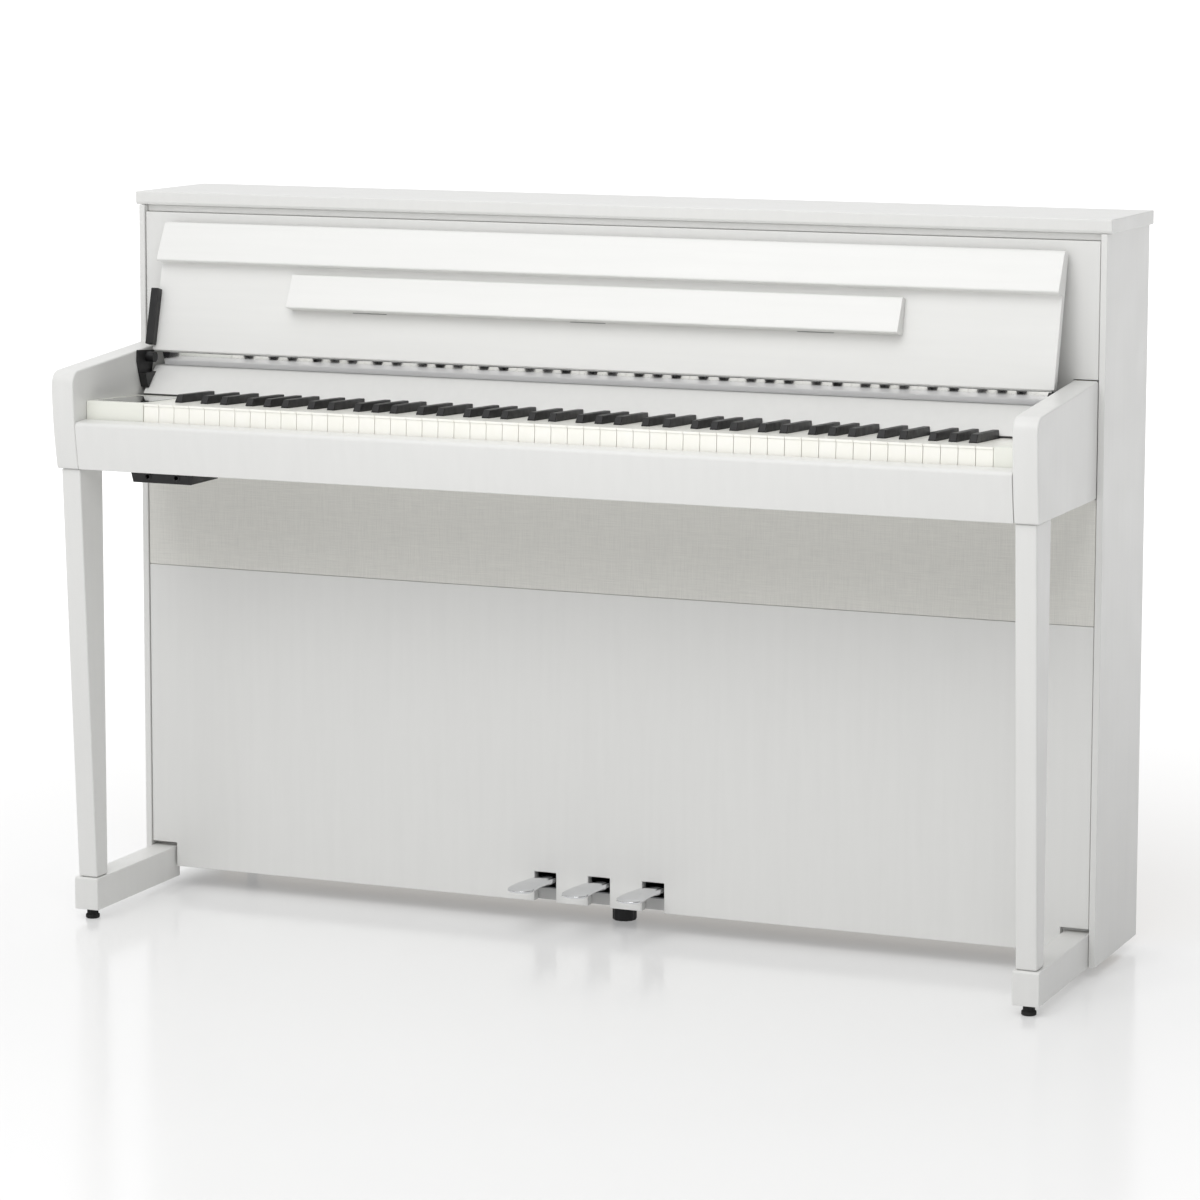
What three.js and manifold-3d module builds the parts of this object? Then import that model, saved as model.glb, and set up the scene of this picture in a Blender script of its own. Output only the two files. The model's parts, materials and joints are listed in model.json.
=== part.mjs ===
// Upright digital piano: a white cabinet on two front legs, with 88 keys, a folding key lid that carries
// a folding music ledge, three pedals, and the speakers and electronics inside.
// Millimetres, +Z up. X runs from the bass end to the treble end, and the player sits on the -Y side.
// The origin is on the floor, under the middle of the cabinet's width and depth.
import * as THREE from "three";
import { mergeVertices } from "three/addons/utils/BufferGeometryUtils.js";
import Module from "manifold-3d";

const wasm = await Module();
wasm.setup();

// ---- Driving dimensions ----

const GAP = 0.4; // between pieces that touch on the real instrument
const DEPTH = 485;
const BACK = DEPTH / 2;
const FRONT = -DEPTH / 2;

// Cabinet
const LID_HALF_WIDTH = 725.5;
const LID_TOP = 1020.7;
const LID_THICK = 19;
const SIDE_OUTER = 720;
const SIDE_THICK = 16;
const SIDE_FRONT = 32.5;
const REBATE_DEPTH = 18; // the front boards sit in a step along each side panel's front edge
const REBATE_INNER = 711;
const BASE = 15; // height of the cabinet's underside above the floor
const BOARD_FRONT = 34.8;
const BOARD_THICK = 15;
const BOARD_HALF_WIDTH = 710;
const GROOVE = { bottom: 991.5, depth: 8 }; // shadow line along the front, right under the lid
const CLOTH_BOTTOM = 478.5;
const LOWER_BOARD_BOTTOM = 32.4;

// Arms, legs and toe blocks
const ARM = { inner: 676.7, outer: 710.7, bottom: 649.6, frontTop: 788, backTop: 807.5 };
const LEG = { inner: 676.8, outer: 706, rear: -160, topFront: -225, bottomFront: -192 };
const TOE = { inner: 673.7, front: -196.3, top: 61.2 };
const FOOT_RADIUS = 10;

// Keyboard
const WHITE_PITCH = 23.6;
const WHITE_COUNT = 52;
const KEYS_LEFT = -586.6; // the wider block with the display is left of the keys
const KEYS_RIGHT = KEYS_LEFT + WHITE_COUNT * WHITE_PITCH;
const KEY_GAP = 1;
const WHITE = { front: -204.6, top: 743, bottom: 712, tail: 22 };
const BLACK = { front: -154, top: 754, width: 11, slot: 13.6, visibleBack: -54, tailTop: 742 };
const KEY_SLOPE = THREE.MathUtils.degToRad(2.6); // at rest the keyboard falls towards the back
const KEY_BED = [652, 670];
const RAIL_MIDDLE = 12; // the keys rock on the balance rail
const BALANCE_RAIL_TOP = 700.4;
const BLOCK_TOP = 743.5; // at the front, from where the blocks slope like the keys

// Key lid: it leans back when open, and turns about a pin near its lower edge
const HINGE = { y: -30, z: 789 };
const LID_LEAN = THREE.MathUtils.degToRad(14.5);
const KEY_LID = { halfWidth: 668, thick: 12, bottom: 10.3, top: 196.5, lipBottom: 137 };
const LEDGE = { halfWidth: 453, bottom: 75, top: 125 };

// Pedals
const PEDAL_SPACING = 82;
const PEDAL = { tip: -66, root: 105, bottom: 56, stemTop: 70, tipWidth: 38, stemWidth: 28 };
// Heights along a pedal: it arches up in front of the lower board and thins towards its tip.
const PEDAL_ARCH = [
  { y: BOARD_FRONT, under: 57.5, top: 70.5 },
  { y: 8, under: 61.5, top: 72.5 },
  { y: -22, under: 64.8, top: 73.4 },
  { y: -48, under: 65.4, top: 73 },
  { y: PEDAL.tip, under: 64.6, top: 70.8 },
];
const PEDAL_NOTCH = { width: 33, top: 75 }; // open at the lower board's bottom edge
const PEDAL_DROP = 5.5; // room below a pedal where it enters its box

// ---- Materials ----

const paint = (color, roughness, metalness = 0) =>
  new THREE.MeshStandardMaterial({ color, roughness, metalness });

const satinWhite = paint(0xf1f1ef, 0.35);
const greyCloth = paint(0xd2d0cb, 0.95);
const keyWhite = paint(0xf3f1e6, 0.4);
const keyBlack = paint(0x2b2b2b, 0.5);
const blackPlastic = paint(0x141414, 0.5);
const glossBlack = paint(0x0a0a0a, 0.08);
const mirror = paint(0xdcdde0, 0.06, 1);
const darkFelt = paint(0x262425, 0.95);
const chrome = paint(0xd8dadc, 0.12, 1);
const steel = paint(0x8d9194, 0.4, 1);
const rubber = paint(0x1b1b1b, 0.9);
const rawBoard = paint(0xc9b48d, 0.8);
const circuitGreen = paint(0x1f5a3a, 0.6);

// ---- Shape helpers ----

const CURVE_STEPS = 14; // straight steps in each curve of an outline

const piano = new THREE.Group();

function addMesh(name, geometry, material, parent = piano) {
  const mesh = new THREE.Mesh(geometry, material);
  mesh.name = name;
  parent.add(mesh);
  return mesh;
}

function boxGeometry([x0, x1], [y0, y1], [z0, z1]) {
  const box = new THREE.BoxGeometry(x1 - x0, y1 - y0, z1 - z0);
  return box.translate((x0 + x1) / 2, (y0 + y1) / 2, (z0 + z1) / 2);
}

function outline(points) {
  return new THREE.Shape(points.map(([a, b]) => new THREE.Vector2(a, b)));
}

const extruded = (shape, depth) =>
  new THREE.ExtrudeGeometry(shape, { depth, bevelEnabled: false, curveSegments: CURVE_STEPS });

// A (y, z) outline stretched along X.
function prismAlongX(shape, [x0, x1]) {
  const turn = new THREE.Matrix4().makeBasis(
    new THREE.Vector3(0, 1, 0),
    new THREE.Vector3(0, 0, 1),
    new THREE.Vector3(1, 0, 0),
  );
  return extruded(shape, x1 - x0).applyMatrix4(turn).translate(x0, 0, 0);
}

// An (x, z) outline stretched along Y.
function prismAlongY(shape, [y0, y1]) {
  return extruded(shape, y1 - y0).rotateX(Math.PI / 2).translate(0, y1, 0);
}

// An (x, y) outline stretched along Z.
function prismAlongZ(shape, [z0, z1]) {
  return extruded(shape, z1 - z0).translate(0, 0, z0);
}

function cylinderAlongZ(radius, [z0, z1], x, y, sides = 24) {
  const cylinder = new THREE.CylinderGeometry(radius, radius, z1 - z0, sides).rotateX(Math.PI / 2);
  return cylinder.translate(x, y, (z0 + z1) / 2);
}

function cylinderAlongX(radius, [x0, x1], y, z, sides = 24) {
  const cylinder = new THREE.CylinderGeometry(radius, radius, x1 - x0, sides).rotateZ(Math.PI / 2);
  return cylinder.translate((x0 + x1) / 2, y, z);
}

function cylinderAlongY(radius, [y0, y1], x, z, sides = 24) {
  return new THREE.CylinderGeometry(radius, radius, y1 - y0, sides).translate(x, (y0 + y1) / 2, z);
}

// Keyboard pieces are drawn level, then tipped about the top edge of the white keys' fronts.
function tipped(geometry) {
  geometry.translate(0, -WHITE.front, -WHITE.top);
  geometry.rotateX(-KEY_SLOPE);
  return geometry.translate(0, WHITE.front, WHITE.top);
}

// A closed geometry as a solid for joining and cutting.
function solid(geometry) {
  const bare = new THREE.BufferGeometry();
  bare.setAttribute("position", geometry.getAttribute("position").clone());
  if (geometry.index) bare.setIndex(geometry.index.clone());
  const merged = mergeVertices(bare, 1e-4);
  const mesh = new wasm.Mesh({
    numProp: 3,
    vertProperties: new Float32Array(merged.attributes.position.array),
    triVerts: new Uint32Array(merged.index.array),
  });
  return new wasm.Manifold(mesh);
}

function geometryOf(manifold) {
  const mesh = manifold.getMesh();
  const geometry = new THREE.BufferGeometry();
  geometry.setAttribute("position", new THREE.BufferAttribute(mesh.vertProperties, 3));
  geometry.setIndex(new THREE.BufferAttribute(mesh.triVerts, 1));
  geometry.computeVertexNormals();
  return geometry;
}

const joined = (pieces) => geometryOf(pieces.map(solid).reduce((sum, piece) => sum.add(piece)));

const cut = (body, cutters) =>
  geometryOf(cutters.map(solid).reduce((rest, cutter) => rest.subtract(cutter), solid(body)));

const SIDES = { left: -1, right: 1 };

// The X range between two distances from the middle, on the left (-1) or right (1) side.
function sideRange(side, inner, outer) {
  return side < 0 ? [-outer, -inner] : [inner, outer];
}

// ---- Cabinet ----

function addSidePanel(word, side) {
  const inner = SIDE_OUTER - SIDE_THICK;
  const rebateBack = SIDE_FRONT + REBATE_DEPTH;
  const corners = [
    [SIDE_OUTER, SIDE_FRONT],
    [SIDE_OUTER, BACK],
    [inner, BACK],
    [inner, rebateBack],
    [REBATE_INNER, rebateBack],
    [REBATE_INNER, SIDE_FRONT],
  ];
  const shape = outline(corners.map(([x, y]) => [side * x, y]));
  addMesh(`${word}_side_panel`, prismAlongZ(shape, [BASE, LID_TOP - LID_THICK - GAP]), satinWhite);
}

// The lid board's front edge is upright, with a small round above and a small chamfer below.
function addTopLid() {
  const bottom = LID_TOP - LID_THICK;
  const front = SIDE_FRONT + 0.5;
  const shape = new THREE.Shape();
  shape.moveTo(front + 2.5, bottom);
  shape.lineTo(BACK, bottom);
  shape.lineTo(BACK, LID_TOP);
  shape.lineTo(front + 2.5, LID_TOP);
  shape.quadraticCurveTo(front, LID_TOP, front, LID_TOP - 2.5);
  shape.lineTo(front, bottom + 4);
  addMesh("top_lid", prismAlongX(shape, [-LID_HALF_WIDTH, LID_HALF_WIDTH]), satinWhite);
}

// The rail under the lid stands back from the boards and closes the groove.
function addTopRail() {
  const top = LID_TOP - LID_THICK - GAP;
  const back = SIDE_FRONT + REBATE_DEPTH - GAP;
  const grooveBack = BOARD_FRONT + GROOVE.depth;
  const shape = outline([
    [grooveBack, GROOVE.bottom + GAP],
    [back, GROOVE.bottom + GAP],
    [back, top],
    [grooveBack, top],
  ]);
  addMesh("top_rail", prismAlongX(shape, [-REBATE_INNER + GAP, REBATE_INNER - GAP]), satinWhite);
}

// The upper board reaches down between the arms to close the space behind the key lid.
function addUpperFrontPanel() {
  const shape = outline([
    [-BOARD_HALF_WIDTH, ARM.backTop + GAP],
    [-ARM.inner + GAP, ARM.backTop + GAP],
    [-ARM.inner + GAP, 776],
    [ARM.inner - GAP, 776],
    [ARM.inner - GAP, ARM.backTop + GAP],
    [BOARD_HALF_WIDTH, ARM.backTop + GAP],
    [BOARD_HALF_WIDTH, GROOVE.bottom],
    [-BOARD_HALF_WIDTH, GROOVE.bottom],
  ]);
  addMesh("upper_front_panel", prismAlongY(shape, [BOARD_FRONT, BOARD_FRONT + BOARD_THICK]), satinWhite);
}

function addSpeakerClothPanel() {
  const width = [-BOARD_HALF_WIDTH, BOARD_HALF_WIDTH];
  const height = [CLOTH_BOTTOM + GAP, KEY_BED[0] - 3];
  const panel = boxGeometry(width, [BOARD_FRONT, BOARD_FRONT + 12], height);
  addMesh("speaker_cloth_panel", panel, greyCloth);
}

// The lower board is stepped round the toe blocks and has one notch for each pedal.
function addLowerFrontPanel() {
  const notchInner = TOE.inner - 3;
  const notchTop = TOE.top + 6;
  const shape = outline([
    [-notchInner, LOWER_BOARD_BOTTOM],
    [notchInner, LOWER_BOARD_BOTTOM],
    [notchInner, notchTop],
    [BOARD_HALF_WIDTH, notchTop],
    [BOARD_HALF_WIDTH, CLOTH_BOTTOM],
    [-BOARD_HALF_WIDTH, CLOTH_BOTTOM],
    [-BOARD_HALF_WIDTH, notchTop],
    [-notchInner, notchTop],
  ]);
  const board = prismAlongY(shape, [BOARD_FRONT, BOARD_FRONT + BOARD_THICK]);
  const notches = pedalCentres().map((x) =>
    boxGeometry(
      [x - PEDAL_NOTCH.width / 2, x + PEDAL_NOTCH.width / 2],
      [BOARD_FRONT - 5, BOARD_FRONT + BOARD_THICK + 5],
      [LOWER_BOARD_BOTTOM - 5, PEDAL_NOTCH.top],
    ),
  );
  addMesh("lower_front_panel", cut(board, notches), satinWhite);
}

const INSIDE_X = SIDE_OUTER - SIDE_THICK - GAP;
const INSIDE_FRONT = SIDE_FRONT + REBATE_DEPTH + GAP;
const ADJUSTER = { x: 8, y: 110, radius: 17.5, top: 19, stem: 5, stemTop: 52 };
const BOTTOM_BOARD_FRONT = 122; // nothing but the floor shows through the pedal notches
const INLET = { x: [470, 520], z: [150, 182] };

function addBackPanel() {
  const height = [BASE + 1, LID_TOP - LID_THICK - GAP];
  const panel = boxGeometry([-INSIDE_X, INSIDE_X], [BACK - 6, BACK - 2], height);
  const window = boxGeometry(INLET.x, [BACK - 20, BACK + 20], INLET.z);
  addMesh("back_panel", cut(panel, [window]), rawBoard);
}

function addBottomBoard() {
  const depth = [BOTTOM_BOARD_FRONT, BACK - 7];
  const board = boxGeometry([-INSIDE_X, INSIDE_X], depth, [LOWER_BOARD_BOTTOM, LOWER_BOARD_BOTTOM + 16]);
  addMesh("bottom_board", board, satinWhite);
}

// ---- Arms, legs, toe blocks and feet ----

const ARM_ROLL = 17;

// The front of the arms and of the key slip leans back towards the bottom, on one shared curve.
const FRONT_CURVE = {
  top: [FRONT, ARM.frontTop - 1.4 * ARM_ROLL],
  bend: [FRONT + 1, ARM.bottom + 60],
  foot: [FRONT + 13, ARM.bottom],
};

// The point a share of the way down that curve, and the bend of the curve from there to its foot.
function alongFront(share) {
  const between = (a, b) => a.map((value, i) => value + (b[i] - value) * share);
  const { top, bend, foot } = FRONT_CURVE;
  const lower = between(bend, foot);
  return { point: between(between(top, bend), lower), bend: lower };
}

// The arm's front rolls over into the top, which rises to the rear.
function addArm(word, side) {
  const roll = ARM_ROLL;
  const { top, bend, foot } = FRONT_CURVE;
  const shape = new THREE.Shape();
  shape.moveTo(...foot);
  shape.lineTo(BOARD_FRONT - GAP, ARM.bottom);
  shape.lineTo(BOARD_FRONT - GAP, ARM.backTop);
  shape.lineTo(FRONT + 1.2 * roll, ARM.frontTop);
  shape.quadraticCurveTo(FRONT, ARM.frontTop - 1, ...top);
  shape.quadraticCurveTo(...bend, ...foot);
  addMesh(`${word}_arm`, prismAlongX(shape, sideRange(side, ARM.inner, ARM.outer)), satinWhite);
}

function addLeg(word, side) {
  const shape = outline([
    [LEG.bottomFront, TOE.top + GAP],
    [LEG.rear, TOE.top + GAP],
    [LEG.rear, ARM.bottom - GAP],
    [LEG.topFront, ARM.bottom - GAP],
  ]);
  addMesh(`${word}_leg`, prismAlongX(shape, sideRange(side, LEG.inner, LEG.outer)), satinWhite);
}

function addToeBlock(word, side) {
  const back = BOARD_FRONT + BOARD_THICK;
  const shape = outline([
    [TOE.front, BASE],
    [back, BASE],
    [back, TOE.top],
    [TOE.front + 2, TOE.top],
    [TOE.front, TOE.top - 2],
  ]);
  const block = prismAlongX(shape, sideRange(side, TOE.inner, REBATE_INNER - GAP));
  addMesh(`${word}_toe_block`, block, satinWhite);
}

function addFoot(name, x, y, top) {
  addMesh(name, cylinderAlongZ(FOOT_RADIUS, [0, top - GAP], x, y), rubber);
}

// ---- Key bed, key slip, rails and end blocks ----

const BETWEEN_ARMS = [-ARM.inner + GAP, ARM.inner - GAP];

function addKeyBed() {
  addMesh("key_bed", boxGeometry(BETWEEN_ARMS, [FRONT + 22, BACK - 40], KEY_BED), satinWhite);
}

// The slip in front of the keys is flush with the arms, and its top edge rolls forward.
function addKeySlip() {
  const back = WHITE.front - 2.4;
  const { point: shoulder, bend } = alongFront(0.48);
  const { foot } = FRONT_CURVE;
  const shape = new THREE.Shape();
  shape.moveTo(...foot);
  shape.lineTo(FRONT + 21, ARM.bottom);
  shape.lineTo(FRONT + 21, KEY_BED[1] + GAP);
  shape.lineTo(back, KEY_BED[1] + GAP);
  shape.lineTo(back, 718);
  shape.lineTo(shoulder[0] + 7, 716.8);
  shape.quadraticCurveTo(shoulder[0], 716.4, ...shoulder);
  shape.quadraticCurveTo(...bend, ...foot);
  addMesh("key_slip", prismAlongX(shape, BETWEEN_ARMS), satinWhite);
}

function addBalanceRail() {
  const width = [KEYS_LEFT, KEYS_RIGHT];
  const depth = [RAIL_MIDDLE - 12, RAIL_MIDDLE + 12];
  const rail = boxGeometry(width, depth, [KEY_BED[1] + GAP, BALANCE_RAIL_TOP]);
  addMesh("balance_rail", rail, rawBoard);
}

const RAIL_BOTTOM = 738.7;
const RAIL_TOP = 775.5;
const RAIL_ROUND = 3;
const STRIP_HALF_WIDTH = 660;

// A sloping board rises from the back of the keys to the foot of the mirror strip, with a rounded edge.
function addKeyBackRail() {
  const shape = new THREE.Shape();
  shape.moveTo(-52.5, RAIL_BOTTOM);
  shape.lineTo(BOARD_FRONT - GAP, RAIL_BOTTOM);
  shape.lineTo(BOARD_FRONT - GAP, RAIL_TOP);
  shape.lineTo(-15 + RAIL_ROUND, RAIL_TOP);
  shape.quadraticCurveTo(-15, RAIL_TOP, -15 - RAIL_ROUND, RAIL_TOP - RAIL_ROUND);
  addMesh("key_back_rail", prismAlongX(shape, [-670.5, 670.5]), satinWhite);
}

// The mirror strip leans towards the player and shows the keys.
function addMirrorStrip() {
  const shape = outline([
    [-4.3, RAIL_TOP + GAP],
    [-1.3, RAIL_TOP + GAP],
    [-9, 795],
    [-12, 795],
  ]);
  addMesh("mirror_strip", prismAlongX(shape, [-STRIP_HALF_WIDTH, STRIP_HALF_WIDTH]), mirror);
}

// A thin felt strip under the rail, just above the backs of the white keys.
function addKeyFelt() {
  const height = [RAIL_BOTTOM - GAP - 1.3, RAIL_BOTTOM - GAP];
  addMesh("key_felt", boxGeometry([-669, 669], [-53.3, -45], height), darkFelt);
}

const DISPLAY = { x: [-668, -596], y: [-186, -76], pocket: 2 };
const POWER = { x: 659, y: -150, radius: 7, pocket: 6 };

// An end block's top slopes like the keys beside it.
function blockGeometry(width) {
  const back = BLACK.visibleBack;
  const bottom = KEY_BED[1] + GAP;
  const backTop = BLOCK_TOP - (back - WHITE.front) * Math.tan(KEY_SLOPE);
  const shape = outline([[WHITE.front, bottom], [back, bottom], [back, backTop], [WHITE.front, BLOCK_TOP]]);
  return prismAlongX(shape, width);
}

function addLeftBlock() {
  const block = blockGeometry([BETWEEN_ARMS[0], KEYS_LEFT - 0.6]);
  const grow = ([low, high]) => [low - GAP, high + GAP];
  const pocketHeight = [BLOCK_TOP - DISPLAY.pocket, BLOCK_TOP + 5];
  const pocket = boxGeometry(grow(DISPLAY.x), grow(DISPLAY.y), pocketHeight);
  addMesh("left_cheek_block", cut(block, [tipped(pocket)]), satinWhite);
  const height = [BLOCK_TOP - DISPLAY.pocket + GAP, BLOCK_TOP + 0.3];
  addMesh("control_display", tipped(boxGeometry(DISPLAY.x, DISPLAY.y, height)), glossBlack);
}

function addRightBlock() {
  const block = blockGeometry([KEYS_RIGHT + 0.6, BETWEEN_ARMS[1]]);
  const pocketHeight = [BLOCK_TOP - POWER.pocket, BLOCK_TOP + 5];
  const pocket = cylinderAlongZ(POWER.radius + 0.5, pocketHeight, POWER.x, POWER.y);
  addMesh("right_cheek_block", cut(block, [tipped(pocket)]), satinWhite);
  const height = [BLOCK_TOP - POWER.pocket + 2, BLOCK_TOP + 1.8];
  const button = cylinderAlongZ(POWER.radius, height, POWER.x, POWER.y);
  addMesh("power_button", tipped(button), blackPlastic);
}

// The headphone box hangs under the key bed. Its front leans in towards the bottom.
const HEADPHONE = { x: [-616, -515], front: -192, back: -112, bottom: 631 };
const JACKS = [-588, -543];

function addHeadphoneBox() {
  const top = ARM.bottom + 1.6;
  const shape = outline([
    [HEADPHONE.x[0] + 5, HEADPHONE.bottom],
    [HEADPHONE.x[1] - 5, HEADPHONE.bottom],
    [HEADPHONE.x[1], top],
    [HEADPHONE.x[0], top],
  ]);
  const box = prismAlongY(shape, [HEADPHONE.front, HEADPHONE.back]);
  const sockets = JACKS.map((x) => cylinderAlongY(3.3, [HEADPHONE.front - 5, HEADPHONE.front + 22], x, 640));
  addMesh("headphone_box", cut(box, sockets), blackPlastic);
}

// ---- Keys ----

const whiteLeft = (index) => KEYS_LEFT + index * WHITE_PITCH;

// Each octave's black keys: the white boundary they straddle, counted from C, and their shift from it.
const BLACK_LAYOUT = [
  { boundary: 1, shift: -3.3 },
  { boundary: 2, shift: 3.3 },
  { boundary: 4, shift: -4 },
  { boundary: 5, shift: 0 },
  { boundary: 6, shift: 4 },
];
const FIRST_C = 2; // white keys A0 and B0 come before the first C

function blackKeys() {
  const keys = [{ boundary: 1, shift: 4 }];
  for (let octave = 0; octave < 7; octave++) {
    for (const { boundary, shift } of BLACK_LAYOUT) {
      keys.push({ boundary: FIRST_C + 7 * octave + boundary, shift });
    }
  }
  return keys.map(({ boundary, shift }) => ({ boundary, x: whiteLeft(boundary) + shift }));
}

const BLACKS = blackKeys();

// A white key's outline from above, narrowed beside its black neighbours as far back as slotEnd.
function whiteKeyGeometry(index, slotEnd) {
  const left = whiteLeft(index) + KEY_GAP / 2;
  const right = whiteLeft(index + 1) - KEY_GAP / 2;
  const blackLeft = BLACKS.find((key) => key.boundary === index);
  const blackRight = BLACKS.find((key) => key.boundary === index + 1);
  const shoulder = BLACK.front - 2;
  const points = [[left, WHITE.front], [right, WHITE.front]];
  if (blackRight) {
    const edge = blackRight.x - BLACK.slot / 2;
    points.push([right, shoulder], [edge, shoulder], [edge, slotEnd]);
    if (slotEnd < WHITE.tail) points.push([right, slotEnd], [right, WHITE.tail]);
  } else {
    points.push([right, WHITE.tail]);
  }
  if (blackLeft) {
    const edge = blackLeft.x + BLACK.slot / 2;
    if (slotEnd < WHITE.tail) points.push([left, WHITE.tail], [left, slotEnd]);
    points.push([edge, slotEnd], [edge, shoulder], [left, shoulder]);
  } else {
    points.push([left, WHITE.tail]);
  }
  return prismAlongZ(outline(points), [WHITE.bottom, WHITE.top]);
}

function blackKeyGeometry(key, back) {
  const shape = outline([
    [BLACK.front, WHITE.bottom + 1],
    [back, WHITE.bottom + 1],
    [back, BLACK.tailTop],
    [BLACK.visibleBack, BLACK.tailTop],
    [BLACK.visibleBack, BLACK.top],
    [BLACK.front + 6.5, BLACK.top],
    [BLACK.front, WHITE.top + 1.5],
  ]);
  return prismAlongX(shape, [key.x - BLACK.width / 2, key.x + BLACK.width / 2]);
}

const SLOT_END = -12;

// A bank of white keys, joined behind the slots of its black keys.
function addWhiteBank(name, first, last) {
  const keys = [];
  for (let index = first; index <= last; index++) keys.push(whiteKeyGeometry(index, SLOT_END));
  const width = [whiteLeft(first) + KEY_GAP / 2, whiteLeft(last + 1) - KEY_GAP / 2];
  const web = boxGeometry(width, [SLOT_END + 6, WHITE.tail], [WHITE.bottom, WHITE.top]);
  addMesh(name, tipped(joined([...keys, web])), keyWhite);
}

// A bank of black keys, joined by a web under the white keys, which each black key's stem reaches.
function addBlackBank(name, keys) {
  const web = { y: [-60, -16], z: [696, 707] };
  const pieces = keys.map((key) => blackKeyGeometry(key, web.y[1]));
  const half = BLACK.width / 2;
  const stemHeight = [web.z[0] + 3, WHITE.bottom + 8];
  const stems = keys.map((key) =>
    boxGeometry([key.x - half, key.x + half], [web.y[0] + 5, web.y[1]], stemHeight),
  );
  const width = [keys[0].x - half, keys[keys.length - 1].x + half];
  addMesh(name, tipped(joined([...pieces, ...stems, boxGeometry(width, web.y, web.z)])), keyBlack);
}

// The middle octave's keys are pieces of their own, and the keys either side of it are in banks.
function addKeys() {
  const middleC = FIRST_C + 21;
  const middleB = middleC + 6;
  "CDEFGAB".split("").forEach((letter, step) => {
    const geometry = whiteKeyGeometry(middleC + step, WHITE.tail);
    addMesh(`key_${letter.toLowerCase()}4`, tipped(geometry), keyWhite);
  });
  const middleBlacks = BLACKS.filter((key) => key.boundary > middleC && key.boundary <= middleB);
  ["c", "d", "f", "g", "a"].forEach((letter, step) => {
    const geometry = blackKeyGeometry(middleBlacks[step], WHITE.tail);
    addMesh(`key_${letter}_sharp4`, tipped(geometry), keyBlack);
  });
  addWhiteBank("white_keys_bass", 0, middleC - 1);
  addWhiteBank("white_keys_treble", middleB + 1, WHITE_COUNT - 1);
  addBlackBank("black_keys_bass", BLACKS.filter((key) => key.boundary < middleC));
  addBlackBank("black_keys_treble", BLACKS.filter((key) => key.boundary > middleB + 1));
}

// ---- Key lid and music ledge ----

// In the lid's own frame Z runs up the board, -Y is the side that faces the player, and the hinge pin
// is on the origin.
const lidFrame = new THREE.Group();
lidFrame.position.set(0, HINGE.y, HINGE.z);
lidFrame.rotation.x = -LID_LEAN;
piano.add(lidFrame);

function addFallboard() {
  const { bottom, top, thick, lipBottom, halfWidth } = KEY_LID;
  const shape = new THREE.Shape();
  shape.moveTo(0, bottom);
  shape.lineTo(thick, bottom);
  shape.lineTo(thick, top - 4);
  shape.quadraticCurveTo(thick, top, thick - 5, top);
  shape.lineTo(2, top);
  shape.quadraticCurveTo(-4, top, -6, top - 6);
  shape.lineTo(-18, lipBottom + 3);
  shape.quadraticCurveTo(-18, lipBottom, -15, lipBottom);
  shape.lineTo(0, lipBottom);
  addMesh("fallboard", prismAlongX(shape, [-halfWidth, halfWidth]), satinWhite, lidFrame);
}

function addMusicLedge() {
  const { bottom, top, halfWidth } = LEDGE;
  const shape = new THREE.Shape();
  shape.moveTo(-20, bottom);
  shape.lineTo(-GAP, bottom);
  shape.lineTo(-GAP, top);
  shape.lineTo(-9, top);
  shape.quadraticCurveTo(-12, top, -13, top - 4);
  shape.lineTo(-22, bottom + 3);
  shape.quadraticCurveTo(-22.5, bottom, -20, bottom);
  addMesh("music_ledge", prismAlongX(shape, [-halfWidth, halfWidth]), satinWhite, lidFrame);
}

// Only the bass end has this arm, which stays on the lid and stands out past its end.
function addHingeArm() {
  const arm = boxGeometry([-674, -662], [-13, -GAP], [17, 98]);
  addMesh("left_hinge_arm", arm, blackPlastic, lidFrame);
}

// A thin plate on the arm's inner face, with the round boss that the lid turns about, and a thick
// foot that stands in front of the sloping board.
function addHingeBracket(word, side) {
  const face = outline([
    [-47, 747],
    [-18, 746],
    [-17, 770],
    [-9, 797],
    [-59, 801],
    [-60, 785],
    [-55, 768],
  ]);
  const foot = outline([
    [-47, 746.9],
    [-45.6, 746.9],
    [-24, 768],
    [-55, 768],
  ]);
  const plate = prismAlongX(face, sideRange(side, 674.4, ARM.inner - GAP));
  const block = prismAlongX(foot, sideRange(side, 664.3, 675));
  const boss = cylinderAlongX(7.5, sideRange(side, 662, 675), HINGE.y, HINGE.z);
  addMesh(`${word}_hinge_bracket`, joined([plate, block, boss]), blackPlastic);
}

// ---- Pedals ----

function pedalCentres() {
  return [-PEDAL_SPACING, 0, PEDAL_SPACING].map((x) => x - 1);
}

// Seen from above a pedal is a narrow stem that flares into a rounded tip.
function pedalPlan(x) {
  const tip = PEDAL.tipWidth / 2;
  const stem = PEDAL.stemWidth / 2;
  const shape = new THREE.Shape();
  shape.moveTo(x + stem, PEDAL.root);
  shape.lineTo(x - stem, PEDAL.root);
  shape.lineTo(x - stem, BOARD_FRONT - 8);
  shape.bezierCurveTo(x - stem, -4, x - tip, -6, x - tip, PEDAL.tip + 16);
  shape.quadraticCurveTo(x - tip, PEDAL.tip, x, PEDAL.tip);
  shape.quadraticCurveTo(x + tip, PEDAL.tip, x + tip, PEDAL.tip + 16);
  shape.bezierCurveTo(x + tip, -6, x + stem, -4, x + stem, BOARD_FRONT - 8);
  return shape;
}

// The space over or under the arch, from behind the stem to in front of the tip.
function besidePedal(heights, root, far) {
  const points = [[PEDAL.root + 5, far], [PEDAL.root + 5, root]];
  PEDAL_ARCH.forEach(({ y }, i) => points.push([y, heights[i]]));
  points.push([PEDAL.tip - 5, heights[heights.length - 1]], [PEDAL.tip - 5, far]);
  return outline(points);
}

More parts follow.
